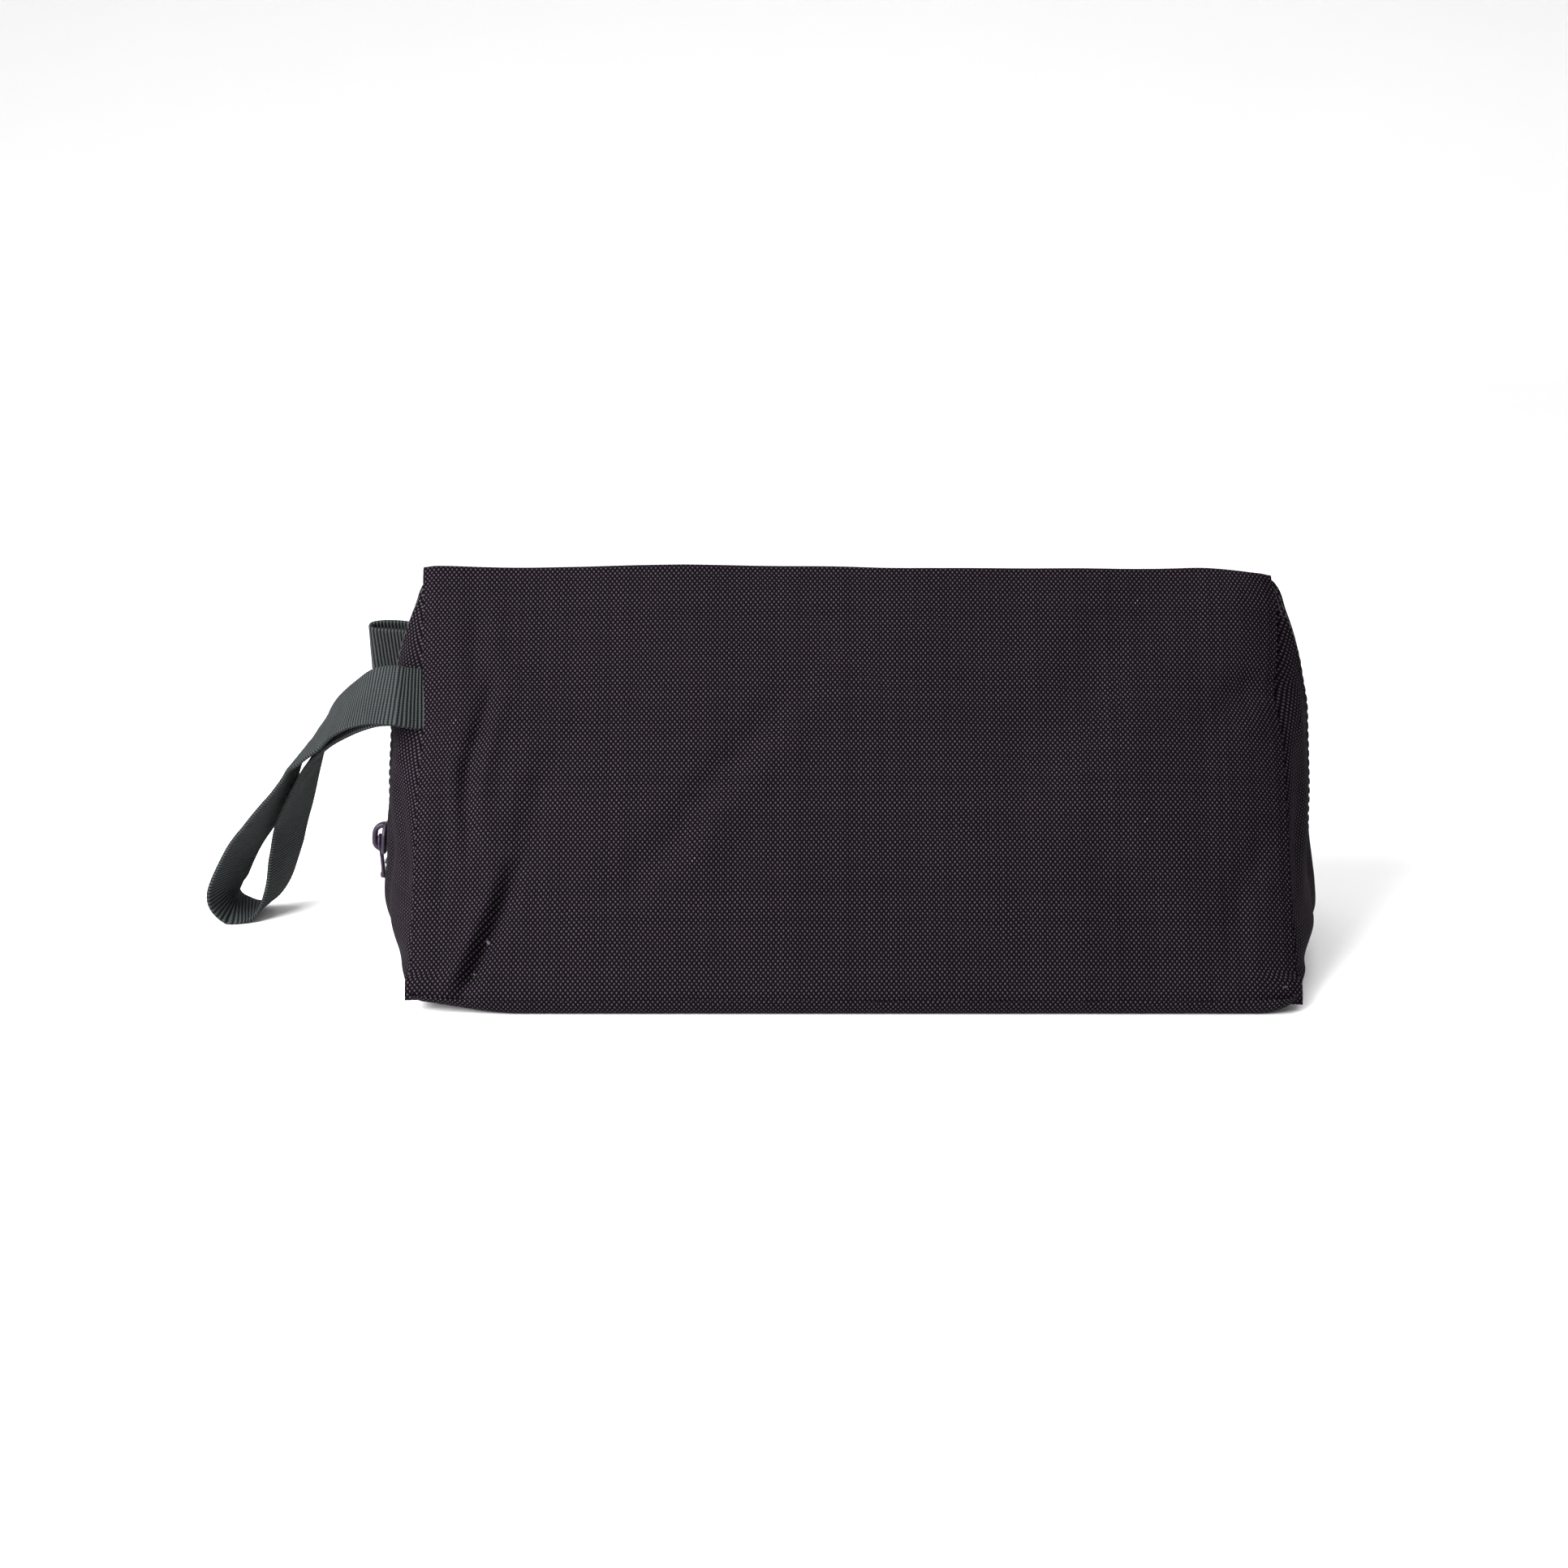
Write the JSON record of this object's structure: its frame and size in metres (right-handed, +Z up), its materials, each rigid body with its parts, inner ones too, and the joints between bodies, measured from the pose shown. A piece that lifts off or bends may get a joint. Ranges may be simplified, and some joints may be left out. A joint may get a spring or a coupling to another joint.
{
  "type": "soft shaving kit bag",
  "caption": "Boxy woven shaving kit bag with a ridge zip that runs down both ends, a long webbing carry loop and a short webbing pull tab.",
  "frame": {"origin": "middle of the flat base, on the floor", "axes": "+X to the bag's right end, along its length; -Y out of the front panel; +Z up. The carry loop and the zip slider are at the -X end"},
  "size_m": [0.3568, 0.138, 0.121],
  "materials": {
    "shell_fabric": "dark plum plain-weave nylon, matt with light specks on the threads",
    "lining_fabric": "thin coated lining, matt",
    "webbing": "ribbed dark grey-green webbing",
    "zip_tape": "woven zip tape",
    "zip_coil": "nylon coil",
    "zip_metal": "plum enamel, satin"
  },
  "bodies": {
    "bag_body": {"base_panel": "shell_fabric", "base_lining": "lining_fabric", "left_end_lower": "shell_fabric", "right_end_lower": "shell_fabric", "left_lower_lining": "lining_fabric", "right_lower_lining": "lining_fabric", "zip_stop_left": "zip_metal", "zip_stop_right": "zip_metal"},
    "front_half": {"front_panel": "shell_fabric", "front_lining": "lining_fabric", "left_end_front": "shell_fabric", "right_end_front": "shell_fabric", "left_front_lining": "lining_fabric", "right_front_lining": "lining_fabric", "zip_tape_front": "zip_tape", "zip_coil_front": "zip_coil"},
    "back_half": {"back_panel": "shell_fabric", "back_lining": "lining_fabric", "left_end_back": "shell_fabric", "right_end_back": "shell_fabric", "left_back_lining": "lining_fabric", "right_back_lining": "lining_fabric", "zip_tape_back": "zip_tape", "zip_coil_back": "zip_coil"},
    "slider": {"slider_body": "zip_metal"},
    "puller": {"puller": "zip_metal"},
    "carry_loop": {"carry_loop": "webbing"},
    "pull_tab": {"pull_tab": "webbing"}
  },
  "joints": [
    {"name": "front_open", "type": "hinge", "parent": "bag_body", "child": "front_half", "pos_m": [0, -0.069, 0.004], "axis": [1, 0, 0], "range_deg": [0, 20]},
    {"name": "back_open", "type": "hinge", "parent": "bag_body", "child": "back_half", "pos_m": [0, 0.069, 0.004], "axis": [-1, 0, 0], "range_deg": [0, 20]},
    {"name": "slider_travel", "type": "slide", "parent": "bag_body", "child": "slider", "axis": [-0.0824, 0, -0.9966], "range_m": [-0.04, 0]},
    {"name": "puller_swing", "type": "hinge", "parent": "slider", "child": "puller", "pos_m": [-0.14885, 0, 0.03479], "axis": [0, 1, 0], "range_deg": [0, 165]},
    {"name": "carry_loop_swing", "type": "hinge", "parent": "front_half", "child": "carry_loop", "pos_m": [-0.1306, -0.0265, 0.0856], "axis": [0, 0.4623, 0.8867], "range_deg": [0, 80]},
    {"name": "pull_tab_swing", "type": "hinge", "parent": "back_half", "child": "pull_tab", "pos_m": [-0.1306, 0.024, 0.0903], "axis": [0, -0.4623, 0.8867], "range_deg": [-75, 15]}
  ]
}
